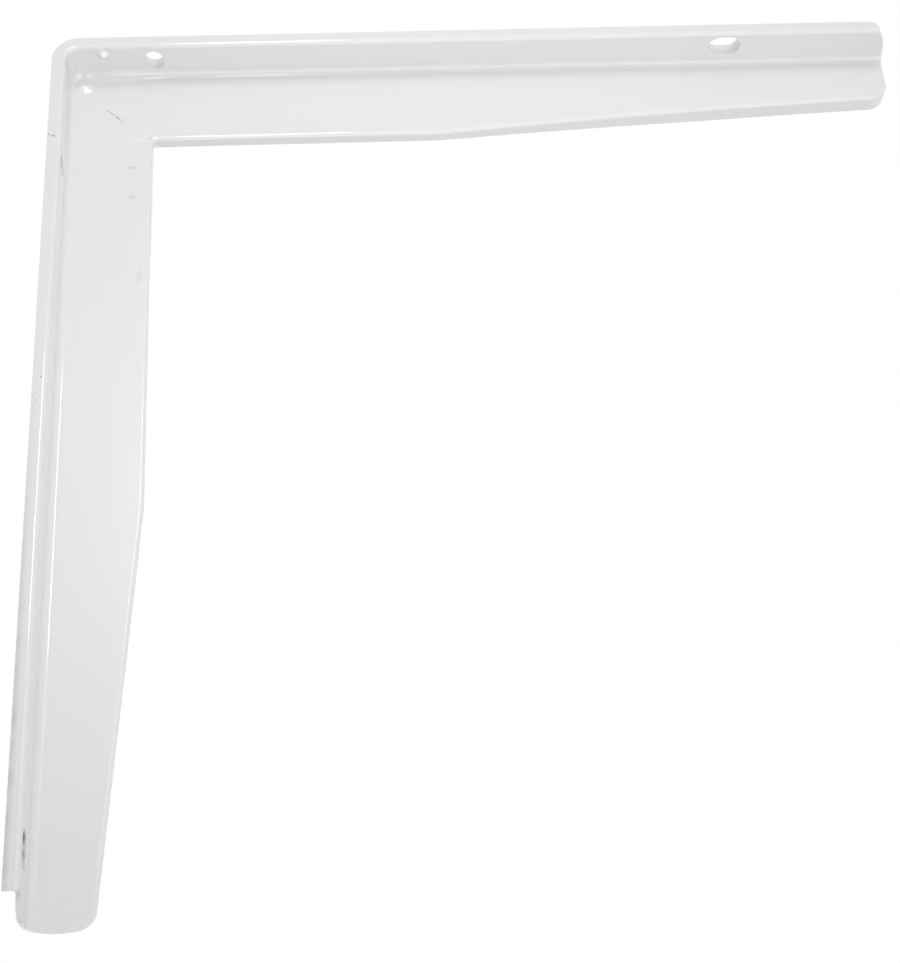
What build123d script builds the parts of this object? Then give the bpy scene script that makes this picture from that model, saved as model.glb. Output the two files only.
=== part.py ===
"""Shelf bracket pressed from one strip of sheet steel, with a wall arm and a shelf arm.

The strip has a stair-step section in both arms. A thin rim stands out towards the
wall or the shelf, a flange carries the screw holes, a broad web joins the two arms
into an L, and a narrow lip is turned back along the web's free edge. The arms meet
in a mitre that is welded on the inside.

Frame: +X runs out from the wall along the shelf arm, +Z is up, and -Y is the side
that the rim is on. X = 0 is the wall. Z = 0 is the centre of the upper wall hole,
and Y = 0 is the line that the wall holes are on.
"""
from build123d import *
import math
import os

# Overall size of the bracket, in millimetres.
SHELF_ARM_LENGTH = 300.0
WALL_ARM_LENGTH = 319.6

# Sheet and section.
SHEET = 1.5
RIM_HEIGHT = 4.7
FLANGE_DEPTH = 14.5
SHELF_WEB_WIDTH = 30.4
WALL_WEB_WIDTH = 29.6
LIP_DEPTH = 4.1
LIP_DEPTH_DEEP = 6.3

# Bends of the sheet, each given as the radius that shows on the rim's side.
RIM_BEND_RADIUS = 1.4
FLANGE_BEND_RADIUS = 2.4
LIP_BEND_RADIUS = 1.3

# Corner where the arms meet, at the rim's edge and inside the web.
RIM_CORNER_RADIUS = 9.5
INSIDE_CORNER_RADIUS = 1.2

# Taper of the web. Each start is a distance from the wall or from the shelf.
SHELF_TAPER_START = 136.0
SHELF_TAPER_BULGE = 1.2
WALL_TAPER_START = 184.5
SHELF_END_WEB_WIDTH = 18.6
WALL_END_WEB_WIDTH = 18.9

# Lip along the tapered part of each arm, as distances from the wall or the shelf.
SHELF_LIP_DEEP_FROM = 231.0
WALL_LIP_FADE_END = 211.0
SHELF_LIP_END_DROP = 7.0

# Ends of the arms.
SHELF_WEB_END_RADIUS = 7.5
WALL_WEB_END_RADIUS = 6.0
WALL_WEB_END_BULGE = 1.7
SHELF_RIM_SETBACK = 3.6
WALL_RIM_SETBACK = 7.8
SHELF_RIM_END_RADIUS = 3.4
WALL_FLANGE_SETBACK = 4.4
WALL_FLANGE_END_RADIUS = 5.0

# Screw holes. Each hole is drawn out into a short collar that ends flush with the rim.
# All four take up the flat width of the flange, less what is spared beside its bends.
HOLE_SPARED_WIDTH = 1.3
WALL_HOLES_GAP = 1.0
SHELF_NEAR_HOLE_GAP = 0.1
SHELF_FAR_HOLE_GAP = 1.2
NEAR_HOLE_SHARE = 0.76
FAR_HOLE_LENGTH = 11.4
SHELF_NEAR_HOLE = 34.9
SHELF_FAR_HOLE_FROM_END = 59.6
WALL_NEAR_HOLE = 52.2
WALL_FAR_HOLE_FROM_END = 21.2
COLLAR_WALL = 1.0
HOLE_EDGE_RADIUS = 0.5

# Weld in the mitre, on the web's front face. Out and down are from the flange faces.
SEAM_MIDDLE_OUT = 16.2
SEAM_MIDDLE_DOWN = 19.2
SEAM_LENGTH = 8.8
SEAM_WIDTH = 0.45
SEAM_DEPTH = 0.4
BEAD_OUT = 22.6
BEAD_DOWN = 25.4
BEAD_LENGTH = 10.0
BEAD_WIDTH = 5.6
BEAD_HEIGHT = 0.12
BEAD_TILT = -36.0
CORNER_DOME_OUT = 4.2
CORNER_DOME_DOWN = 4.4
CORNER_DOME_RADIUS = 2.8
CORNER_DOME_HEIGHT = 0.5
DROP_OUT = 12.7
DROP_FROM_WEB = 10.8
DROP_RADIUS = 1.5
DROP_HEIGHT = 1.0
EMBED = 0.4

# Heights and depths that follow from the sizes above.
shelf_z = WALL_NEAR_HOLE
wall_end_z = shelf_z - WALL_ARM_LENGTH
flange_back = RIM_HEIGHT - SHEET
web_reach = RIM_HEIGHT + WALL_WEB_WIDTH
hole_width = FLANGE_DEPTH - FLANGE_BEND_RADIUS - RIM_BEND_RADIUS - 2 * HOLE_EDGE_RADIUS - HOLE_SPARED_WIDTH
near_hole_length = NEAR_HOLE_SHARE * hole_width
hole_side_from_web = FLANGE_BEND_RADIUS + HOLE_EDGE_RADIUS
web_front_y = hole_side_from_web + WALL_HOLES_GAP + hole_width / 2
rim_front_y = web_front_y - FLANGE_DEPTH
rim_back_y = rim_front_y + SHEET
web_back_y = web_front_y + SHEET
shelf_tip_width = RIM_HEIGHT + SHELF_END_WEB_WIDTH
wall_tip_width = RIM_HEIGHT + WALL_END_WEB_WIDTH
lip_back_y = web_front_y + LIP_DEPTH
lip_deep_y = web_front_y + LIP_DEPTH_DEEP
TOLERANCE = 0.01
CLEAR = 0.02
REACH = 500.0


def upright_plane(y):
    """Plane parallel to the web at depth y, whose sketches are drawn in X and Z."""
    return Plane(origin=(0, y, 0), x_dir=(1, 0, 0), z_dir=(0, -1, 0))


def angle_strip(outer, inner, shelf_end, wall_end):
    """Face of an L between two distances from the wall and the shelf."""
    Polygon(
        (outer, wall_end),
        (inner, wall_end),
        (inner, shelf_z - inner),
        (shelf_end, shelf_z - inner),
        (shelf_end, shelf_z - outer),
        (outer, shelf_z - outer),
        align=None,
    )


def round_sketch_corner(sketch, x, z, radius):
    """Round the corner of a sketch that is at x and z."""
    corner = sketch.vertices().sort_by_distance((x, z))[0]
    fillet(corner, radius=radius)


def distance_in(point):
    """How far a point is in from the wall and the shelf, measured round the bent corner."""
    before_corner_x = RIM_CORNER_RADIUS - point.X
    before_corner_z = point.Z - shelf_z + RIM_CORNER_RADIUS
    if before_corner_x > 0 and before_corner_z > 0:
        return RIM_CORNER_RADIUS - math.hypot(before_corner_x, before_corner_z)
    return min(point.X, shelf_z - point.Z)


def at_depth(edge, y):
    """Whether an edge lies in the plane at depth y."""
    return all(abs((edge @ share).Y - y) < TOLERANCE for share in (0, 0.5, 1))


def along_strip(edge, distance):
    """Whether an edge follows the arms at one distance in from the wall and the shelf."""
    return all(abs(distance_in(edge @ share) - distance) < TOLERANCE for share in (0, 0.5, 1))


# Outline of the web, from the bent top corner round both arms.
shelf_taper_z = shelf_z - RIM_HEIGHT - SHELF_WEB_WIDTH
shelf_tip_z = shelf_z - shelf_tip_width
wall_taper_z = shelf_z - WALL_TAPER_START
taper_middle_x = (SHELF_TAPER_START + SHELF_ARM_LENGTH) / 2
taper_middle_z = (shelf_taper_z + shelf_tip_z) / 2 + SHELF_TAPER_BULGE
wall_middle_x = (flange_back + wall_tip_width) / 2
wall_corner_z = wall_end_z + WALL_WEB_END_BULGE

# The lip is the border of the same outline, kept only along the web's free edge.
lip_keep_x = web_reach - 2 * SHEET
lip_keep_z = shelf_z - RIM_HEIGHT - SHELF_LIP_END_DROP

with BuildPart() as bracket:
    # Web, thick enough to hold the lip.
    with BuildSketch(upright_plane(web_front_y)) as web_face:
        with BuildLine():
            Polyline(
                (wall_tip_width, wall_end_z),
                (flange_back, wall_end_z),
                (flange_back, shelf_z - flange_back),
                (SHELF_ARM_LENGTH, shelf_z - flange_back),
                (SHELF_ARM_LENGTH, shelf_tip_z),
            )
            ThreePointArc(
                (SHELF_ARM_LENGTH, shelf_tip_z),
                (taper_middle_x, taper_middle_z),
                (SHELF_TAPER_START, shelf_taper_z),
            )
            Polyline(
                (SHELF_TAPER_START, shelf_taper_z),
                (web_reach, shelf_taper_z),
                (web_reach, wall_taper_z),
                (wall_tip_width, wall_corner_z),
                (wall_tip_width, wall_end_z),
            )
        make_face()
        round_sketch_corner(web_face, flange_back, shelf_z - flange_back, RIM_CORNER_RADIUS - flange_back)
        round_sketch_corner(web_face, SHELF_ARM_LENGTH, shelf_tip_z, SHELF_WEB_END_RADIUS)
        round_sketch_corner(web_face, web_reach, shelf_taper_z, INSIDE_CORNER_RADIUS)
    extrude(amount=-LIP_DEPTH_DEEP)

    # Hollow behind the web, open wherever no lip is turned back.
    with BuildSketch(upright_plane(web_back_y)):
        offset(web_face.sketch_local.face(), amount=-SHEET)
        with Locations((lip_keep_x, 0)):
            Rectangle(REACH, REACH * 2, align=(Align.MAX, Align.CENTER))
        with Locations((0, lip_keep_z)):
            Rectangle(REACH, REACH, align=(Align.MIN, Align.MIN))
        with Locations((0, shelf_z - WALL_LIP_FADE_END)):
            Rectangle(REACH, REACH, align=(Align.MIN, Align.MAX))
    extrude(amount=-REACH, mode=Mode.SUBTRACT)

    # Back edge of the lip on the shelf arm, which is deeper along the taper.
    with BuildSketch(Plane.XY.offset(lip_keep_z)):
        with BuildLine():
            Polyline(
                (lip_keep_x - SHEET, lip_back_y),
                (SHELF_TAPER_START, lip_back_y),
                (SHELF_LIP_DEEP_FROM, lip_deep_y),
                (SHELF_LIP_DEEP_FROM, lip_deep_y + SHEET),
                (lip_keep_x - SHEET, lip_deep_y + SHEET),
                close=True,
            )
        make_face()
    extrude(amount=-REACH, mode=Mode.SUBTRACT)

    # The lip on the wall arm fades out where the taper begins.
    with BuildSketch(Plane(origin=(0, 0, 0), x_dir=(0, 1, 0), z_dir=(1, 0, 0))):
        with BuildLine():
            Polyline(
                (lip_back_y, shelf_z - WALL_TAPER_START),
                (web_back_y, shelf_z - WALL_LIP_FADE_END),
                (lip_deep_y, shelf_z - WALL_LIP_FADE_END - SHEET),
                (lip_deep_y, shelf_z - WALL_TAPER_START),
                close=True,
            )
        make_face()
    extrude(amount=web_reach + SHEET, mode=Mode.SUBTRACT)

    # Flange that carries the screw holes.
    with BuildSketch(upright_plane(rim_front_y)) as flange_face:
        angle_strip(flange_back, RIM_HEIGHT, SHELF_ARM_LENGTH, wall_end_z)
        round_sketch_corner(flange_face, flange_back, shelf_z - flange_back, RIM_CORNER_RADIUS - flange_back)
        round_sketch_corner(flange_face, RIM_HEIGHT, shelf_z - RIM_HEIGHT, RIM_CORNER_RADIUS - RIM_HEIGHT)
    extrude(amount=-(FLANGE_DEPTH + SHEET))

    # Rim that stands out from the flange to the wall and to the shelf.
    with BuildSketch(upright_plane(rim_front_y)) as rim_face:
        angle_strip(0, RIM_HEIGHT, SHELF_ARM_LENGTH - SHELF_RIM_SETBACK, wall_end_z + WALL_RIM_SETBACK)
        round_sketch_corner(rim_face, 0, shelf_z, RIM_CORNER_RADIUS)
        round_sketch_corner(rim_face, RIM_HEIGHT, shelf_z - RIM_HEIGHT, RIM_CORNER_RADIUS - RIM_HEIGHT)
        round_sketch_corner(rim_face, SHELF_ARM_LENGTH - SHELF_RIM_SETBACK, shelf_z, SHELF_RIM_END_RADIUS)
    extrude(amount=-SHEET)

    # Folds of the sheet, rounded along both arms and round the bent corner.
    front_edges = [edge for edge in bracket.edges() if at_depth(edge, web_front_y)]
    fillet([edge for edge in front_edges if along_strip(edge, RIM_HEIGHT)], radius=FLANGE_BEND_RADIUS)
    back_edges = [edge for edge in bracket.edges() if at_depth(edge, web_back_y)]
    fillet(
        [edge for edge in back_edges if along_strip(edge, flange_back)],
        radius=FLANGE_BEND_RADIUS + SHEET,
    )
    rim_edges = [edge for edge in bracket.edges() if at_depth(edge, rim_front_y)]
    fillet([edge for edge in rim_edges if along_strip(edge, RIM_HEIGHT)], radius=RIM_BEND_RADIUS)

    # Fold of the lip and the rounded free edge of the web.
    free_limit = RIM_HEIGHT + FLANGE_BEND_RADIUS + TOLERANCE
    free_edges = [
        edge
        for edge in bracket.edges()
        if at_depth(edge, web_front_y)
        and min(distance_in(edge @ 0), distance_in(edge @ 1)) > free_limit
    ]
    fillet(free_edges, radius=LIP_BEND_RADIUS)

    # Curved end of the wall arm, with a rounded corner towards the free edge.
    taper_slope = (web_reach - wall_tip_width) / (wall_taper_z - wall_corner_z)
    beside_z = wall_corner_z + 2 * WALL_WEB_END_RADIUS
    beside_x = wall_tip_width + 2 * WALL_WEB_END_RADIUS * taper_slope + CLEAR
    with BuildSketch(upright_plane(rim_front_y - EMBED)) as end_cut:
        with BuildLine():
            Polyline(
                (flange_back, wall_corner_z),
                (-EMBED, wall_corner_z),
                (-EMBED, wall_end_z - EMBED),
                (web_reach, wall_end_z - EMBED),
                (web_reach, beside_z),
                (beside_x, beside_z),
                (wall_tip_width + CLEAR, wall_corner_z),
            )
            ThreePointArc(
                (wall_tip_width + CLEAR, wall_corner_z),
                (wall_middle_x, wall_end_z),
                (flange_back, wall_corner_z),
            )
        make_face()
        round_sketch_corner(end_cut, wall_tip_width + CLEAR, wall_corner_z, WALL_WEB_END_RADIUS)
    extrude(amount=-REACH, mode=Mode.SUBTRACT)

    # Long curve that draws the flange and rim in at the shelf arm's end.
    rim_end_x = SHELF_ARM_LENGTH - SHELF_RIM_SETBACK
    with BuildSketch(Plane.XY.offset(shelf_z + EMBED)):
        with BuildLine():
            TangentArc(
                (SHELF_ARM_LENGTH, web_front_y),
                (rim_end_x, rim_front_y),
                tangent=(0, -1),
            )
            Polyline(
                (rim_end_x, rim_front_y),
                (rim_end_x, rim_front_y - EMBED),
                (SHELF_ARM_LENGTH + EMBED, rim_front_y - EMBED),
                (SHELF_ARM_LENGTH + EMBED, web_front_y),
                (SHELF_ARM_LENGTH, web_front_y),
            )
        make_face()
    extrude(amount=-(RIM_HEIGHT + FLANGE_BEND_RADIUS + 2 * EMBED), mode=Mode.SUBTRACT)

    # The flange at the wall arm's end steps back beside the rim, then ends in a round corner.
    rim_end_z = wall_end_z + WALL_RIM_SETBACK
    flange_end_y = rim_front_y + WALL_FLANGE_SETBACK
    with BuildSketch(Plane(origin=(-EMBED, 0, 0), x_dir=(0, 1, 0), z_dir=(1, 0, 0))):
        with Locations((rim_front_y - EMBED, rim_end_z)):
            Rectangle(
                WALL_FLANGE_SETBACK + EMBED + WALL_FLANGE_END_RADIUS,
                rim_end_z - wall_corner_z + EMBED,
                align=(Align.MIN, Align.MAX),
            )
        with Locations((flange_end_y, wall_corner_z)):
            Rectangle(
                WALL_FLANGE_END_RADIUS,
                rim_end_z - wall_corner_z,
                align=(Align.MIN, Align.MIN),
                mode=Mode.SUBTRACT,
            )
        with Locations((flange_end_y, wall_corner_z)):
            Rectangle(2 * WALL_FLANGE_END_RADIUS, 2 * WALL_FLANGE_END_RADIUS)
        with Locations((flange_end_y + WALL_FLANGE_END_RADIUS, wall_corner_z + WALL_FLANGE_END_RADIUS)):
            Circle(WALL_FLANGE_END_RADIUS, mode=Mode.SUBTRACT)
    extrude(amount=RIM_HEIGHT + 2 * EMBED, mode=Mode.SUBTRACT)

    # Screw holes, as the plane they are seen in from the rim's side, and their long axis.
    wall_far_z = wall_end_z + WALL_FAR_HOLE_FROM_END
    shelf_far_x = SHELF_ARM_LENGTH - SHELF_FAR_HOLE_FROM_END
    shelf_near_y = web_front_y - hole_side_from_web - SHELF_NEAR_HOLE_GAP - hole_width / 2
    shelf_far_y = web_front_y - hole_side_from_web - SHELF_FAR_HOLE_GAP - hole_width / 2
    wall_plane_near = Plane(origin=(0, 0, 0), x_dir=(0, 1, 0), z_dir=(1, 0, 0))
    wall_plane_far = Plane(origin=(0, 0, wall_far_z), x_dir=(0, 0, 1), z_dir=(1, 0, 0))
    shelf_plane_near = Plane(
        origin=(SHELF_NEAR_HOLE, shelf_near_y, shelf_z), x_dir=(0, 1, 0), z_dir=(0, 0, -1)
    )
    shelf_plane_far = Plane(
        origin=(shelf_far_x, shelf_far_y, shelf_z), x_dir=(1, 0, 0), z_dir=(0, 0, -1)
    )
    holes = (
        (wall_plane_near, hole_width, near_hole_length),
        (wall_plane_far, FAR_HOLE_LENGTH, hole_width),
        (shelf_plane_near, hole_width, near_hole_length),
        (shelf_plane_far, FAR_HOLE_LENGTH, hole_width),
    )
    for hole_plane, long_side, short_side in holes:
        with BuildSketch(hole_plane):
            SlotOverall(long_side + 2 * COLLAR_WALL, short_side + 2 * COLLAR_WALL)
        extrude(amount=flange_back + EMBED)
    for hole_plane, long_side, short_side in holes:
        with BuildSketch(hole_plane):
            SlotOverall(long_side, short_side)
        extrude(amount=RIM_HEIGHT + EMBED, mode=Mode.SUBTRACT)
    for hole_plane, long_side, short_side in holes:
        mouth = hole_plane.offset(RIM_HEIGHT).origin
        mouth_edges = [
            edge
            for edge in bracket.edges()
            if (edge.center() - mouth).length < long_side / 2
            and abs((edge.center() - mouth).dot(hole_plane.z_dir)) < TOLERANCE
        ]
        fillet(mouth_edges, radius=HOLE_EDGE_RADIUS)

    # Open seam of the mitre.
    seam_plane = Plane(
        origin=(
            RIM_HEIGHT + SEAM_MIDDLE_OUT,
            web_front_y,
            shelf_z - RIM_HEIGHT - SEAM_MIDDLE_DOWN,
        ),
        x_dir=(1, 0, -1),
        z_dir=(0, -1, 0),
    )
    with BuildSketch(seam_plane):
        SlotOverall(SEAM_LENGTH, SEAM_WIDTH)
    extrude(amount=-SEAM_DEPTH, mode=Mode.SUBTRACT)

    # Flat weld bead over the mitre, towards the inside corner.
    bead_x = RIM_HEIGHT + BEAD_OUT
    bead_z = shelf_z - RIM_HEIGHT - BEAD_DOWN
    with BuildSketch(upright_plane(web_front_y + EMBED)):
        with Locations((bead_x, bead_z)):
            Ellipse(BEAD_LENGTH / 2, BEAD_WIDTH / 2, rotation=BEAD_TILT)
    extrude(amount=BEAD_HEIGHT + EMBED)
    bead_edges = [edge for edge in bracket.edges() if at_depth(edge, web_front_y - BEAD_HEIGHT)]
    fillet(
        [edge for edge in bead_edges if abs(edge.center().X - bead_x) < BEAD_LENGTH],
        radius=BEAD_HEIGHT - TOLERANCE,
    )

    # Low domes of weld, one in the corner of the web and one under the shelf flange.
    domes = (
        (
            Plane(
                origin=(
                    RIM_HEIGHT + CORNER_DOME_OUT,
                    web_front_y,
                    shelf_z - RIM_HEIGHT - CORNER_DOME_DOWN,
                ),
                x_dir=(1, 0, 0),
                z_dir=(0, 0, -1),
            ),
            CORNER_DOME_RADIUS,
            CORNER_DOME_HEIGHT,
        ),
        (
            Plane(
                origin=(
                    RIM_HEIGHT + DROP_OUT,
                    web_front_y - DROP_FROM_WEB,
                    shelf_z - RIM_HEIGHT,
                ),
                x_dir=(1, 0, 0),
                z_dir=(0, 1, 0),
            ),
            DROP_RADIUS,
            DROP_HEIGHT,
        ),
    )
    for dome_plane, dome_radius, dome_height in domes:
        ball = (dome_radius**2 + dome_height**2) / (2 * dome_height)
        half_angle = math.asin(dome_radius / ball) / 2
        arc_middle = (ball * math.sin(half_angle), dome_height - ball + ball * math.cos(half_angle))
        with BuildSketch(dome_plane):
            with BuildLine():
                Polyline((0, dome_height), (0, -EMBED), (dome_radius, -EMBED), (dome_radius, 0))
                ThreePointArc((dome_radius, 0), arc_middle, (0, dome_height))
            make_face()
        revolve(axis=Axis(dome_plane.origin, dome_plane.y_dir))

bracket.part.label = "bracket"
os.makedirs("parts", exist_ok=True)
export_step(bracket.part, "parts/bracket.step")
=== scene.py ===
# %% [markdown]
# # A white pressed-steel shelf bracket
#
# The bracket hangs on a wall and carries a shelf on its long top arm. The imported model
# already gives its shape, so this lesson is about the rest: the camera that took the
# picture, soft light that shows white on white, a glossy coat of paint with the dimples,
# dull patches, chips and scuffs of a real one, some painted shade and painted highlights,
# and a few thin skins over its weld.

# %% Load the imported model
import bpy
import numpy as np
from mathutils import Matrix, Vector


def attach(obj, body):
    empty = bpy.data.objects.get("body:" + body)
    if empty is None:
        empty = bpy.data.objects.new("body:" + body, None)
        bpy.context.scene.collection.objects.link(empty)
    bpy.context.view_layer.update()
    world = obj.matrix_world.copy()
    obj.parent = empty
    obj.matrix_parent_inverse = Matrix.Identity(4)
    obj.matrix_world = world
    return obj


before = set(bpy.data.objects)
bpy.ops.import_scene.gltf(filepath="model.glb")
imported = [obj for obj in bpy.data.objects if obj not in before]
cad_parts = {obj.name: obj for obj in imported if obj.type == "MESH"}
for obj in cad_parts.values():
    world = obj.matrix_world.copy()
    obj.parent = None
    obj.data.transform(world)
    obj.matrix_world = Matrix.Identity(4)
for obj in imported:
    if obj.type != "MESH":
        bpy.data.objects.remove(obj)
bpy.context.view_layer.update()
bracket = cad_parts["bracket"]

# %% [markdown]
# ## Heights and depths to work from
#
# Every place in this lesson is counted in millimetres in the part's own frame: X runs
# out from the wall, Z is up, and the rim is on the side of negative Y. Two faces come
# back again and again, the front of the rim and the front of the web, so they are
# named once here, with the folds that the skins follow.

# %% Named places
MM = 0.001
RIM_FRONT_Y = -6.4
WEB_FRONT_Y = 8.1
SHELF_Z = 52.2
FLANGE_IN = 4.7
CORNER_BEND = 9.5
FOLD_RADIUS = 2.4
LIP_FOLD_RADIUS = 1.3
LIP_EDGE_Z = 17.1


def place(x, y, z):
    """A point in metres from three millimetre values."""
    return Vector((x * MM, y * MM, z * MM))


print("the web's front lies", round(WEB_FRONT_Y - RIM_FRONT_Y, 2), "mm behind the rim's")

# %% [markdown]
# ## The camera
#
# The photograph looks up from below and a little from the right, with the camera
# tipped by four degrees. The three turns and the place were worked out from the
# straight edges of both arms, whose lengths along the picture tell how far each end is
# from the lens. A long lens keeps the arms almost parallel.

# %% Camera
FOCAL_PIXELS = 1923.0
PICTURE_HEIGHT = 963.0
SENSOR_MM = 36.0
NEAR_CLIP_MM = 10.0
CAMERA_PLACE = place(93.86, -513.06, -438.91)
CAMERA_TURN_DEG = -4.0
CAMERA_RISE_DEG = 30.82
CAMERA_TIP_DEG = -4.06


def aimed(turn_deg, rise_deg, tip_deg):
    """Camera rotation: the forward line turns about Z and rises, then tips about itself."""
    turn, rise, tip = np.radians([turn_deg, rise_deg, tip_deg])
    forward = Vector((-np.sin(turn) * np.cos(rise), np.cos(turn) * np.cos(rise), np.sin(rise)))
    right = Vector((np.cos(turn), np.sin(turn), 0.0))
    up = right.cross(forward)
    tipped_right = right * np.cos(tip) + up * np.sin(tip)
    tipped_up = up * np.cos(tip) - right * np.sin(tip)
    return Matrix((tipped_right, tipped_up, -forward)).transposed().to_4x4()


camera_data = bpy.data.cameras.new("camera")
camera_data.sensor_width = SENSOR_MM
camera_data.lens = FOCAL_PIXELS / PICTURE_HEIGHT * SENSOR_MM
camera_data.clip_start = NEAR_CLIP_MM * MM
camera = bpy.data.objects.new("camera", camera_data)
camera.matrix_world = Matrix.Translation(CAMERA_PLACE) @ aimed(
    CAMERA_TURN_DEG, CAMERA_RISE_DEG, CAMERA_TIP_DEG
)
bpy.context.scene.collection.objects.link(camera)
bpy.context.scene.camera = camera
bpy.context.scene.view_settings.view_transform = "Standard"
print("lens", round(camera_data.lens, 2), "mm")

# %% [markdown]
# ## Helpers for shader nodes
#
# The room, the floor and the paint are all networks of nodes. A few helpers keep the
# networks short to read: one adds a node, one fills a socket with a plain value or with
# another socket, and the rest are small sums, a soft step and a noise.

# %% Nodes, sockets and sums
def add_node(tree, kind, **settings):
    """A node of one kind with its own settings."""
    node = tree.nodes.new(kind)
    for key, value in settings.items():
        setattr(node, key, value)
    return node


def feed(tree, socket, value):
    """Link another socket to this one, or set it to a plain number or colour."""
    if isinstance(value, bpy.types.NodeSocket):
        tree.links.new(value, socket)
    else:
        socket.default_value = value


def math_node(tree, operation, first, second):
    """Arithmetic on two sockets or numbers."""
    node = add_node(tree, "ShaderNodeMath", operation=operation)
    feed(tree, node.inputs[0], first)
    feed(tree, node.inputs[1], second)
    return node.outputs[0]


def vector_node(tree, operation, *vectors):
    """Vector arithmetic on one or two sockets."""
    node = add_node(tree, "ShaderNodeVectorMath", operation=operation)
    for socket, vector in zip(node.inputs, vectors):
        tree.links.new(vector, socket)
    return node


# %% Soft step and noise
def eased(tree, value, low, high):
    """Soft step from one at low to zero at high."""
    step = add_node(tree, "ShaderNodeMapRange", interpolation_type="SMOOTHSTEP")
    feed(tree, step.inputs["Value"], value)
    feed(tree, step.inputs["From Min"], low)
    feed(tree, step.inputs["From Max"], high)
    feed(tree, step.inputs["To Min"], 1.0)
    feed(tree, step.inputs["To Max"], 0.0)
    return step.outputs["Result"]


def noise(tree, where, scale, detail):
    """Cloudy value about one half, whose clouds are one metre over the scale wide."""
    cloud = add_node(tree, "ShaderNodeTexNoise")
    feed(tree, cloud.inputs["Vector"], where)
    feed(tree, cloud.inputs["Scale"], scale)
    feed(tree, cloud.inputs["Detail"], detail)
    return cloud.outputs["Fac"]


# %% [markdown]
# ## White room
#
# White paint shows its shape only by small steps of grey, so the light has to come
# from nearly everywhere. The world gives an even base. It looks pure white to the
# camera and to reflections, and a calmer grey to the surfaces that it lights, which
# keeps the paint from burning out. Stronger lamps would whiten the background too, but
# they would also wash out the steps of grey.

# %% World
WHITE = (1.0, 1.0, 1.0, 1.0)
WORLD_SEEN = 1.0
WORLD_LIGHT = 0.62


def white_to_the_eye(tree, seen_strength, light_strength):
    """One strength for camera, glossy and transmission rays, and another for light."""
    path = add_node(tree, "ShaderNodeLightPath")
    camera_ray, glossy_ray = path.outputs["Is Camera Ray"], path.outputs["Is Glossy Ray"]
    seen = math_node(tree, "MAXIMUM", camera_ray, glossy_ray)
    seen = math_node(tree, "MAXIMUM", seen, path.outputs["Is Transmission Ray"])
    strength = add_node(tree, "ShaderNodeMapRange")
    feed(tree, strength.inputs["Value"], seen)
    feed(tree, strength.inputs["To Min"], light_strength)
    feed(tree, strength.inputs["To Max"], seen_strength)
    return strength.outputs["Result"]


world = bpy.data.worlds.new("white_room")
world.use_nodes = True
bpy.context.scene.world = world
sky = world.node_tree.nodes["Background"]
sky.inputs["Color"].default_value = WHITE
world_strength = white_to_the_eye(world.node_tree, WORLD_SEEN, WORLD_LIGHT)
world.node_tree.links.new(world_strength, sky.inputs["Strength"])
print("the room lights the paint at", WORLD_LIGHT)

# %% [markdown]
# ## Floor
#
# The floor lies far below the bracket, under the camera. It is pale and keeps a faint
# shadow, and because it is wide it also throws light up on the undersides. A backdrop
# that curves up behind the part would do as well, but the white room is already there.

# %% Floor
FLOOR_Z = -1100.0
FLOOR_HALF = 6000.0
FLOOR_COLOUR = (0.86, 0.86, 0.86, 1.0)
FLOOR_ROUGHNESS = 0.9
FLOOR_GLOW = 0.45


def floor_sheet():
    """One flat square at the floor's height."""
    corners = np.array([(-1, -1), (1, -1), (1, 1), (-1, 1)]) * FLOOR_HALF * MM
    points = np.column_stack([corners, np.full(len(corners), FLOOR_Z * MM)])
    mesh = bpy.data.meshes.new("floor")
    mesh.from_pydata(points.tolist(), [], [(0, 1, 2, 3)])
    sheet = bpy.data.objects.new("floor", mesh)
    bpy.context.scene.collection.objects.link(sheet)
    return sheet


def pale_floor_paint():
    """Matt pale paint that glows only to the camera and to reflections."""
    paint = bpy.data.materials.new("pale_floor")
    paint.use_nodes = True
    tree = paint.node_tree
    shader = tree.nodes["Principled BSDF"]
    shader.inputs["Base Color"].default_value = FLOOR_COLOUR
    shader.inputs["Roughness"].default_value = FLOOR_ROUGHNESS
    shader.inputs["Emission Color"].default_value = WHITE
    glow = white_to_the_eye(tree, FLOOR_GLOW, 0.0)
    tree.links.new(glow, shader.inputs["Emission Strength"])
    return paint


floor = floor_sheet()
floor.data.materials.append(pale_floor_paint())
print("the floor is", 2 * FLOOR_HALF * MM, "m wide and lies at", FLOOR_Z * MM, "m")

# %% [markdown]
# ## Lamps
#
# The main lamp is a tall soft box in front and above. It is placed so that its mirror
# image runs as a thin bright line in both folds, which is how the photograph shows
# where it was. The others fill. A small one in front, lower down, adds a glint, a broad
# one in front lifts the shelf arm, two shine up from below, a faint one reaches the wall
# flange from the right, and a large one stands behind, for the side that the photograph
# hides.
#
# Most lamps have a grid, which Blender calls spread, that keeps their light near their
# own axis, so the far end of the wall arm falls off to a darker grey. One big lamp
# would be simpler, but it would light both arms alike.

# %% Lamps
# Name, place, aimed at, width and height, watts, spread in degrees.
LAMPS = (
    ("main_lamp", (45, -780, 320), (130, 0, 50), (130, 220), 0.47, 120.0),
    ("small_lamp", (42, -800, -80), (150, 0, 60), (60, 60), 0.0172, 50.0),
    ("front_lamp", (260, -700, 260), (170, 0, 60), (500, 500), 0.06, 50.0),
    ("low_right_lamp", (520, -300, -520), (120, 0, 20), (500, 500), 0.23, 60.0),
    ("low_front_lamp", (180, -300, -600), (180, 0, 45), (400, 400), 0.055, 40.0),
    ("side_lamp", (520, -600, -160), (40, 0, -165), (200, 200), 0.013, 30.0),
    ("back_lamp", (150, 900, 300), (150, 0, 0), (600, 600), 0.5, 180.0),
)


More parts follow.
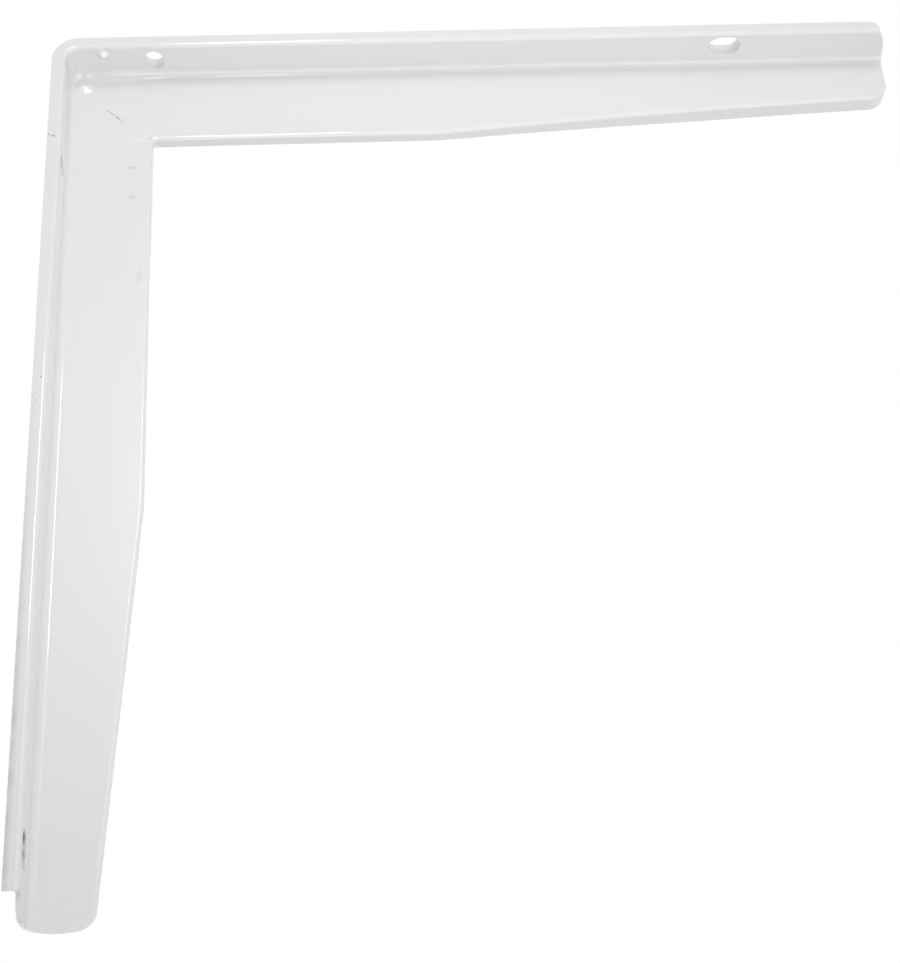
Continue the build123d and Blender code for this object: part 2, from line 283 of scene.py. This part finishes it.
def soft_lamp(name, where, towards, size_mm, watts, spread_deg):
    """A rectangular area lamp that looks from one point at another."""
    lamp_data = bpy.data.lights.new(name, "AREA")
    lamp_data.shape = "RECTANGLE"
    lamp_data.size = size_mm[0] * MM
    lamp_data.size_y = size_mm[1] * MM
    lamp_data.energy = watts
    lamp_data.spread = float(np.radians(spread_deg))
    lamp = bpy.data.objects.new(name, lamp_data)
    lamp.location = place(*where)
    view_line = place(*towards) - place(*where)
    lamp.rotation_euler = view_line.to_track_quat("-Z", "Y").to_euler()
    bpy.context.scene.collection.objects.link(lamp)
    print(name, watts, "watts")


for lamp_row in LAMPS:
    soft_lamp(*lamp_row)

# %% [markdown]
# ## White coat
#
# The real coat is a thick glossy white, sprayed or powdered on and baked. Close up it
# is never flat: it has the fine dimples called orange peel, a slightly greyer tone where
# dust or handling left it dull, and a fine grain, and low on the rim its outer edge gets a
# darker painted shade. An image could carry all this, but it would show its own seams and
# size. Here each effect is a small pattern on object coordinates, so it stays with the
# steel when the view turns.
#
# Chips, smudges, painted shade and specks of painted highlight come first. Each is one
# or more soft ovals, so a single node group makes them all, with a centre, three radii
# and two values for its border.

# %% Spot group
SPOT_NOISE_SCALE = 900.0
SPOT_NOISE_DETAIL = 3.0
NOISE_MIDDLE = 0.5
SPOT_INPUTS = (
    ("Centre", "NodeSocketVector"),
    ("Radii", "NodeSocketVector"),
    ("Ragged", "NodeSocketFloat"),
    ("Edge", "NodeSocketFloat"),
)


def make_spot_group():
    """Soft oval mask: one in the middle, zero where the distance in radii reaches one.

    A noise times Ragged shifts that distance, and Edge is the width of the soft border.
    """
    group = bpy.data.node_groups.new("oval_spot", "ShaderNodeTree")
    for name, kind in SPOT_INPUTS:
        group.interface.new_socket(name, in_out="INPUT", socket_type=kind)
    group.interface.new_socket("Mask", in_out="OUTPUT", socket_type="NodeSocketFloat")
    entry = add_node(group, "NodeGroupInput")
    leave = add_node(group, "NodeGroupOutput")
    where = add_node(group, "ShaderNodeTexCoord").outputs["Object"]
    away = vector_node(group, "SUBTRACT", where, entry.outputs["Centre"])
    scaled = vector_node(group, "DIVIDE", away.outputs[0], entry.outputs["Radii"])
    length = vector_node(group, "LENGTH", scaled.outputs[0])
    cloud = noise(group, where, SPOT_NOISE_SCALE, SPOT_NOISE_DETAIL)
    shift = math_node(group, "SUBTRACT", cloud, NOISE_MIDDLE)
    shift = math_node(group, "MULTIPLY", shift, entry.outputs["Ragged"])
    reach = math_node(group, "ADD", length.outputs["Value"], shift)
    inner = math_node(group, "SUBTRACT", 1.0, entry.outputs["Edge"])
    group.links.new(eased(group, reach, inner, 1.0), leave.inputs["Mask"])
    return group


oval_spot = make_spot_group()
print("the spot group has", len(oval_spot.nodes), "nodes")

# %% [markdown]
# ## Marks on the paint
#
# Each mark is placed where the photograph shows it. Chips, scratches and the open seam
# are dark, and so is a line of painted shade along the lip's back edge. Smudges are only
# a little greyer than the coat, and so are two stretches of painted shade, one behind the
# lip and one on the wall flange near the corner. The upper ends of the wall slots are
# painted dark, as painted shade inside the slots. The upper ends of the wall slots look
# dark in the photograph, so they are painted as bare steel, though it may be shadow. The
# weld drop, one fleck in the corner's fold and two specks low on the wall arm are painted
# highlights, paler than the rest.

# %% Places of the marks
# Centre and radii in millimetres, ragged, edge, strength.
BEHIND_LIP_Y = 12.4
COLLAR_WALL_X = 3.45
DARK_MARKS = (
    # A scratch across the rim, in three ovals.
    ((0.5, RIM_FRONT_Y, 8.0), (0.5, 1.5, 0.5), 0.9, 0.7, 0.4),
    ((1.3, RIM_FRONT_Y, 7.5), (1.0, 1.5, 0.3), 0.9, 0.6, 0.5),
    ((2.2, RIM_FRONT_Y, 7.2), (0.75, 1.5, 0.5), 0.9, 0.6, 0.6),
    # Two chips lower on the rim, and one at the inner corner of the web.
    ((2.7, RIM_FRONT_Y, -92.2), (0.4, 1.0, 0.5), 0.6, 0.6, 0.7),
    ((1.6, RIM_FRONT_Y, -100.9), (0.35, 1.0, 0.4), 0.6, 0.6, 0.5),
    ((33.2, WEB_FRONT_Y, 17.7), (0.6, 1.5, 0.5), 0.6, 0.6, 0.3),
    # The open piece of the seam.
    ((21.6, WEB_FRONT_Y, 27.5), (0.7, 1.5, 0.35), 1.0, 0.6, 0.5),
    ((22.6, WEB_FRONT_Y, 26.6), (0.6, 1.5, 0.3), 1.0, 0.6, 0.45),
    ((23.6, WEB_FRONT_Y, 25.5), (0.6, 1.5, 0.4), 1.0, 0.6, 0.55),
    # The dark line behind the lip, painted shade along its back edge.
    ((38.6, BEHIND_LIP_Y, LIP_EDGE_Z), (4.5, 0.7, 0.8), 0.5, 0.5, 0.5),
    ((50.0, BEHIND_LIP_Y, LIP_EDGE_Z), (6.0, 0.5, 0.6), 1.2, 0.6, 0.3),
)
SMUDGES_AND_SHADE = (
    # Three smudges on the web, and painted shade along a stretch behind the lip.
    ((27.0, WEB_FRONT_Y, 4.5), (2.4, 2.0, 1.1), 1.2, 0.9, 0.4),
    ((27.6, WEB_FRONT_Y, -8.5), (2.4, 2.0, 1.3), 1.2, 0.9, 0.4),
    ((30.8, WEB_FRONT_Y, -43.0), (1.5, 2.0, 4.5), 0.9, 0.9, 0.22),
    ((88.0, BEHIND_LIP_Y, LIP_EDGE_Z), (9.0, 0.5, 0.6), 1.4, 0.6, 0.4),
    # A long faint painted shade on the wall flange near the corner.
    ((FLANGE_IN, 1.0, 30.0), (1.3, 7.0, 26.0), 0.2, 0.9, 0.2),
)
SHADE_IN_SLOTS = (
    # Painted shade in the upper end of the far wall slot.
    ((COLLAR_WALL_X, 0.6, -241.6), (1.15, 5.0, 3.2), 0.2, 0.6, 0.78),
    ((COLLAR_WALL_X, 3.6, -246.0), (1.1, 2.2, 2.2), 0.6, 0.8, 0.4),
    # Painted shade in the upper end of the near wall slot.
    ((COLLAR_WALL_X, 0.6, 2.1), (1.15, 5.0, 1.8), 0.2, 0.6, 0.4),
)
PAINTED_HIGHLIGHTS = (
    # Painted highlights: the weld drop, the fleck in the corner's fold, then the two low
    # specks.
    ((17.2, -3.6, 45.6), (3.4, 3.4, 2.6), 0.3, 0.7, 1.0),
    ((11.3, 6.4, 46.2), (1.7, 1.2, 0.6), 0.3, 0.5, 1.0),
    ((4.7, 1.8, -251.3), (0.8, 0.9, 1.1), 0.3, 0.5, 1.0),
    ((5.9, WEB_FRONT_Y, -239.4), (0.9, 1.5, 1.2), 0.6, 0.7, 0.3),
)


def joined_spots(tree, marks):
    """Largest of all the oval masks, each times its own strength."""
    total = None
    for centre, radii, ragged, edge, strength in marks:
        spot = add_node(tree, "ShaderNodeGroup", node_tree=oval_spot)
        spot.inputs["Centre"].default_value = place(*centre)
        spot.inputs["Radii"].default_value = place(*radii)
        spot.inputs["Ragged"].default_value = ragged
        spot.inputs["Edge"].default_value = edge
        worth = math_node(tree, "MULTIPLY", spot.outputs["Mask"], strength)
        total = worth if total is None else math_node(tree, "MAXIMUM", total, worth)
    return total


# The count takes in the ovals of painted shade and painted highlight too.
print(len(DARK_MARKS + SMUDGES_AND_SHADE + SHADE_IN_SLOTS + PAINTED_HIGHLIGHTS), "ovals of wear")

# %% [markdown]
# ## Painted shade on the rim's edge
#
# Low on the wall arm, the outer edge of the rim gets a darker painted shade where it
# meets the wall. The shade fades away from the wall and up the arm, and a noise breaks it
# up. A mask from the mesh's own sharp edges would mark every edge alike, so two distances
# are used.

# %% Painted shade on the rim's edge
# Where the painted shade on the rim's edge lies, and how a noise breaks it up.
EDGE_SHADE_FROM_WALL = (0.2, 2.4)
EDGE_SHADE_DOWN_ARM = (-210.0, -60.0)
EDGE_SHADE_NOISE_SCALE = 160.0
EDGE_SHADE_NOISE_DETAIL = 3.0


def shaded_rim_edge(tree, where):
    """Mask of painted shade that fades with X away from the wall and with Z up the wall arm,
    times a noise.
    """
    parts = add_node(tree, "ShaderNodeSeparateXYZ")
    tree.links.new(where, parts.inputs[0])
    near_wall = eased(tree, parts.outputs["X"], *(x * MM for x in EDGE_SHADE_FROM_WALL))
    low_down = eased(tree, parts.outputs["Z"], *(z * MM for z in EDGE_SHADE_DOWN_ARM))
    cloud = noise(tree, where, EDGE_SHADE_NOISE_SCALE, EDGE_SHADE_NOISE_DETAIL)
    worth = math_node(tree, "MULTIPLY", near_wall, low_down)
    return math_node(tree, "MULTIPLY", worth, cloud)


# The painted shade on the rim runs from this height down to its lower end.
print("the rim is worn from", EDGE_SHADE_DOWN_ARM[1], "mm down to its lower end")

# %% [markdown]
# ## Colour, roughness and dimples
#
# The colours go on one over the other: the coat and its dull patches, the grain, the
# painted shade on the rim's edge, then each kind of mark over the last, painted highlights
# and painted shade among them. They could be mixed by chance, but an order lets a chip cut
# through a smudge, as it does on real paint. The dull patches are also a little rougher,
# so tone and shine change together.

# %% Colour of the coat
COAT_COLOUR = (0.84, 0.84, 0.838, 1.0)
DULL_COLOUR = (0.815, 0.815, 0.812, 1.0)
GRAIN_COLOUR = (0.78, 0.78, 0.777, 1.0)
# Paler colour of the painted highlights.
HIGHLIGHT_COLOUR = (0.97, 0.97, 0.965, 1.0)
# Colour of the smudges, and of the painted shade on the rim's edge, behind the lip and on the
# wall flange.
SMUDGE_AND_SHADE_COLOUR = (0.5, 0.5, 0.49, 1.0)
# Colour of chips, scratches and the seam, and of the painted shade along the lip's back edge.
CHIP_AND_SHADE_COLOUR = (0.16, 0.155, 0.15, 1.0)
# Dark colour of the painted shade inside the wall slots.
SLOT_SHADE_COLOUR = (0.09, 0.088, 0.085, 1.0)
GRAIN_SCALE = 1500.0
GRAIN_DETAIL = 2.0
GRAIN_SHARE = 0.3


def blend_colour(tree, factor, first, second):
    """Colour between two, by a mask."""
    mix = add_node(tree, "ShaderNodeMix", data_type="RGBA")
    feed(tree, mix.inputs["Factor"], factor)
    feed(tree, mix.inputs["A"], first)
    feed(tree, mix.inputs["B"], second)
    return mix.outputs["Result"]


def coat_colour(tree, where, dullness):
    """White, then its dull patches, grain and painted shade on the rim's edge, then each kind
    of mark, painted highlights and painted shade among them, on top.
    """
    grain = noise(tree, where, GRAIN_SCALE, GRAIN_DETAIL)
    grain = math_node(tree, "MULTIPLY", grain, GRAIN_SHARE)
    colour = blend_colour(tree, dullness, COAT_COLOUR, DULL_COLOUR)
    colour = blend_colour(tree, grain, colour, GRAIN_COLOUR)
    # Painted shade on the rim's edge.
    colour = blend_colour(tree, shaded_rim_edge(tree, where), colour, SMUDGE_AND_SHADE_COLOUR)
    # Painted highlights.
    colour = blend_colour(tree, joined_spots(tree, PAINTED_HIGHLIGHTS), colour, HIGHLIGHT_COLOUR)
    # Smudges, and painted shade behind the lip and on the wall flange.
    colour = blend_colour(tree, joined_spots(tree, SMUDGES_AND_SHADE), colour, SMUDGE_AND_SHADE_COLOUR)
    # Chips, scratches, the seam, and the painted shade along the lip's back edge.
    colour = blend_colour(tree, joined_spots(tree, DARK_MARKS), colour, CHIP_AND_SHADE_COLOUR)
    # Painted shade in the upper ends of the wall slots.
    return blend_colour(tree, joined_spots(tree, SHADE_IN_SLOTS), colour, SLOT_SHADE_COLOUR)


# %% Roughness and dimples
COAT_ROUGHNESS = (0.2, 0.28)
PEEL_SCALE = 520.0
PEEL_DETAIL = 2.0
PEEL_STRENGTH = 0.05
PEEL_DEPTH = 0.06


def coat_roughness(tree, dullness):
    """Roughness between its two ends, as the dull patches go."""
    rough = add_node(tree, "ShaderNodeMapRange")
    feed(tree, rough.inputs["Value"], dullness)
    feed(tree, rough.inputs["To Min"], COAT_ROUGHNESS[0])
    feed(tree, rough.inputs["To Max"], COAT_ROUGHNESS[1])
    return rough.outputs["Result"]


def orange_peel(tree, where):
    """Normal of a surface with fine shallow dimples, from a noise two millimetres wide."""
    dimples = add_node(tree, "ShaderNodeBump")
    feed(tree, dimples.inputs["Height"], noise(tree, where, PEEL_SCALE, PEEL_DETAIL))
    feed(tree, dimples.inputs["Strength"], PEEL_STRENGTH)
    feed(tree, dimples.inputs["Distance"], PEEL_DEPTH * MM)
    return dimples.outputs["Normal"]


# %% [markdown]
# ## The whole coat
#
# The paint has a soft sheen underneath and a hard clear shine on top, which a second,
# smoother layer gives. One low roughness could make the shine too, but the highlights
# would then have no soft border. The bracket's own mesh keeps its shape and only gets
# this material.

# %% The coat itself
DULL_SCALE = 28.0
DULL_DETAIL = 3.0
CLEAR_WEIGHT = 0.8
CLEAR_ROUGHNESS = 0.03


def make_white_coat():
    """Glossy white with soft tone changes, the marks above, dimples and a clear layer."""
    coat = bpy.data.materials.new("white_coat_paint")
    coat.use_nodes = True
    tree = coat.node_tree
    shader = tree.nodes["Principled BSDF"]
    where = add_node(tree, "ShaderNodeTexCoord").outputs["Object"]
    dullness = noise(tree, where, DULL_SCALE, DULL_DETAIL)
    tree.links.new(coat_colour(tree, where, dullness), shader.inputs["Base Color"])
    tree.links.new(coat_roughness(tree, dullness), shader.inputs["Roughness"])
    tree.links.new(orange_peel(tree, where), shader.inputs["Normal"])
    shader.inputs["Coat Weight"].default_value = CLEAR_WEIGHT
    shader.inputs["Coat Roughness"].default_value = CLEAR_ROUGHNESS
    return coat


white_coat = make_white_coat()
bracket.data.materials.clear()
bracket.data.materials.append(white_coat)
print("the coat has", len(white_coat.node_tree.nodes), "nodes")

# %% [markdown]
# ## Skins over the weld
#
# The two arms are joined by a weld that looks ground down and painted over, so on the
# real bracket there is no sharp border anywhere: the corner is a soft pool, the mitre
# ends in a low pad, and a drop of weld hangs under the shelf flange. The solid model
# has these as plain low forms. Here each gets a thin skin over it.
#
# A skin could be sculpted or be a sheet with a bump, but a formula on a grid puts its
# border exactly where it is wanted. All the skins are made by one helper, which turns
# a grid of points into a smooth mesh and lets it ride on the bracket's body.

# %% Grid of points to mesh
def grid_piece(name, points_mm, closed_ring=False):
    """A smooth-shaded mesh over a grid of points, rows by columns, in millimetres.

    Each face is a point, its neighbour in the row and the two below them. A closed
    ring joins the last column to the first, and one face closes its small first row.
    """
    rows, columns = points_mm.shape[:2]
    index = np.arange(rows * columns).reshape(rows, columns)
    if closed_ring:
        index = np.concatenate([index, index[:, :1]], axis=1)
    corners = (index[:-1, :-1], index[:-1, 1:], index[1:, 1:], index[1:, :-1])
    faces = np.stack(corners, axis=-1).reshape(-1, 4).tolist()
    if closed_ring:
        faces.append(index[0, -2::-1].tolist())
    mesh = bpy.data.meshes.new(name)
    mesh.from_pydata((points_mm.reshape(-1, 3) * MM).tolist(), [], faces)
    mesh.validate()
    mesh.polygons.foreach_set("use_smooth", np.ones(len(mesh.polygons), dtype=bool))
    piece = bpy.data.objects.new(name, mesh)
    bpy.context.scene.collection.objects.link(piece)
    piece.data.materials.append(white_coat)
    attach(piece, "root")
    print(name, len(mesh.polygons), "faces")


# %% [markdown]
# ### Mounds
#
# A mound has no visible border when it starts flat: one minus r squared, all squared,
# is one in the middle and dies away to nothing with no slope. A power of four in place
# of two leaves the top flat, as the pad is. The border of each skin dips a hair into
# the solid, so that no gap shows under it.

# %% Bell-shaped skins
BELL_RINGS = 26
BELL_SPOKES = 64
BELL_FIRST_RING = 0.001
SKIN_LIFT = 0.012
LIFT_POWER = 8


def bell_skin(name, origin, directions, semi_axes, height, power=2):
    """A mound on a flat face: height times (1 - r to a power) squared, r in semi-axes.

    A hair of lift is added, which turns to as much of a dip at the border. The three
    directions are across and along the face and out of it.
    """
    ring = np.linspace(BELL_FIRST_RING, 1.0, BELL_RINGS)[:, None]
    turn = np.linspace(0.0, 2 * np.pi, BELL_SPOKES, endpoint=False)[None, :]
    rise = height * (1 - ring**power) ** 2 + SKIN_LIFT * (1 - 2 * ring**LIFT_POWER)
    amounts = np.broadcast_arrays(
        semi_axes[0] * ring * np.cos(turn), semi_axes[1] * ring * np.sin(turn), rise
    )
    across, along, outward = (np.asarray(part, dtype=float) for part in directions)
    points = np.asarray(origin, dtype=float) + sum(
        amount[..., None] * direction
        for amount, direction in zip(amounts, (across, along, outward))
    )
    # The grid's faces look against across x along, so a right-handed set is reversed.
    if np.dot(np.cross(across, along), outward) > 0:
        points = points[:, ::-1]
    grid_piece(name, points, closed_ring=True)


def web_directions(angle_deg):
    """Two directions in the web's plane, the first turned up from X, and the one forward."""
    angle = np.radians(angle_deg)
    first = (np.cos(angle), 0.0, np.sin(angle))
    second = (-np.sin(angle), 0.0, np.cos(angle))
    return first, second, (0, -1, 0)


# %% Pad, pool and drop
DOWN_DIRECTIONS = ((1, 0, 0), (0, 1, 0), (0, 0, -1))

bell_skin(
    "weld_pad",
    origin=(27.5, WEB_FRONT_Y, 21.9),
    directions=web_directions(-34.0),
    semi_axes=(7.1, 5.4),
    height=0.2,
    power=4,
)
bell_skin(
    "weld_pool",
    origin=(8.9, WEB_FRONT_Y, 43.1),
    directions=web_directions(-20.0),
    semi_axes=(4.9, 4.2),
    height=0.8,
)
bell_skin(
    "weld_drop",
    origin=(17.4, -2.7, SHELF_Z - FLANGE_IN),
    directions=DOWN_DIRECTIONS,
    semi_axes=(2.5, 2.3),
    height=1.35,
)

# %% [markdown]
# ### Wide cove in the corner
#
# The fold between flange and web is a tight cove with one radius. In the corner the
# weld filled it, so the cove there is wider. A fillet in the solid would have one
# radius all the way. The skin carries a quarter circle round the bent corner instead
# and lets its radius swell, most of all a third of the way along.

# %% Cove round the corner
COVE_SWELL = 2.2
COVE_START = -1.0
COVE_END = 36.0
COVE_LEAN = 0.6
COVE_STEPS_ALONG = 121
COVE_STEPS_ROUND = 25


def corner_cove():
    """Quarter circles along the flange, with the fold's radius plus a swelling.

    The swelling is 16 v squared (1 - v) squared, which is one at its middle, and v is
    the share of the way to the power of the lean, so it comes early.
    """
    bend = CORNER_BEND - FLANGE_IN
    quarter = bend * np.pi / 2
    share = np.linspace(0.0, 1.0, COVE_STEPS_ALONG)
    run = COVE_START + share * (quarter + COVE_END - COVE_START)
    turn = np.clip(run / bend, 0.0, np.pi / 2)
    before = np.minimum(run, 0.0)
    after = np.maximum(run - quarter, 0.0)
    line_x = CORNER_BEND - bend * np.cos(turn) + after
    line_z = SHELF_Z - CORNER_BEND + bend * np.sin(turn) + before
    early = share**COVE_LEAN
    radius = FOLD_RADIUS + COVE_SWELL * 16 * early**2 * (1 - early) ** 2
    sweep = np.linspace(0.0, np.pi / 2, COVE_STEPS_ROUND)[None, :]
    inward = radius[:, None] * (1 - np.sin(sweep)) + SKIN_LIFT * np.sin(sweep)
    forward = radius[:, None] * (1 - np.cos(sweep)) + SKIN_LIFT * np.cos(sweep)
    x = line_x[:, None] + np.cos(turn)[:, None] * inward
    z = line_z[:, None] - np.sin(turn)[:, None] * inward
    return np.stack([x, WEB_FRONT_Y - forward, z], axis=-1)


# The columns are reversed so that the faces look out of the cove.
grid_piece("corner_cove", corner_cove()[:, ::-1])

# %% [markdown]
# ### Skin on the tapered fold
#
# Along the tapered half of the shelf arm the lip is folded on a slightly hollow line.
# On the real bracket the fold is a smooth bead of light. The solid is cut into long flat
# facets there, so a fine skin follows the hollow curve and keeps the highlight whole.
# It could also be a bevel on the edge, but only an exact curve has an even width.

# %% Hollow line of the taper
TAPER_PLACES = ((136.0, LIP_EDGE_Z), (218.0, 24.2), (300.0, 28.9))


def hollow_line(share):
    """Points and downward normals of the circle through the three places, by angle share."""
    (x1, z1), (x2, z2), (x3, z3) = TAPER_PLACES
    rows = np.array([(2 * (x2 - x1), 2 * (z2 - z1)), (2 * (x3 - x1), 2 * (z3 - z1))])
    sums = np.array([x2**2 + z2**2 - x1**2 - z1**2, x3**2 + z3**2 - x1**2 - z1**2])
    centre = np.linalg.solve(rows, sums)
    first = np.arctan2(z1 - centre[1], x1 - centre[0])
    last = np.arctan2(z3 - centre[1], x3 - centre[0])
    angle = first + share * (last - first)
    away = np.stack([np.cos(angle), np.sin(angle)], axis=-1)
    reach = np.hypot(x1 - centre[0], z1 - centre[1])
    return centre + reach * away, -away


# %% Fold carried along it
TAPER_SPAN = (0.012, 0.942)
TAPER_STAND_OFF = 0.1
TAPER_ONSET = 14
WEB_OVERLAP = 1.2
LIP_OVERLAP = 0.9
TAPER_STEPS_ALONG = 160
TAPER_STEPS_ROUND = 17


def taper_fold():
    """Flat edge, quarter circle and lip edge, all carried along the hollow line.

    The stand-off grows from nothing at both ends, at the onset's rate of the share.
    """
    share = np.linspace(*TAPER_SPAN, TAPER_STEPS_ALONG)
    line, down = hollow_line(share)
    sweep = np.linspace(0.0, np.pi / 2, TAPER_STEPS_ROUND)
    past = LIP_FOLD_RADIUS + TAPER_STAND_OFF
    out = np.concatenate([[-WEB_OVERLAP - past], past * np.sin(sweep) - past, [0.0]])
    back = np.concatenate([[0.0], past * (1 - np.cos(sweep)), [past + LIP_OVERLAP]])
    to_an_end = np.minimum(share - share[0], share[-1] - share)
    growth = np.minimum(1.0, TAPER_ONSET * to_an_end)
    out = out[None, :] + TAPER_STAND_OFF * growth[:, None] + SKIN_LIFT
    x = line[:, :1] + down[:, :1] * out
    y = np.broadcast_to(WEB_FRONT_Y - SKIN_LIFT + back, x.shape)
    z = line[:, 1:] + down[:, 1:] * out
    return np.stack([x, y, z], axis=-1)


grid_piece("taper_fold", taper_fold())
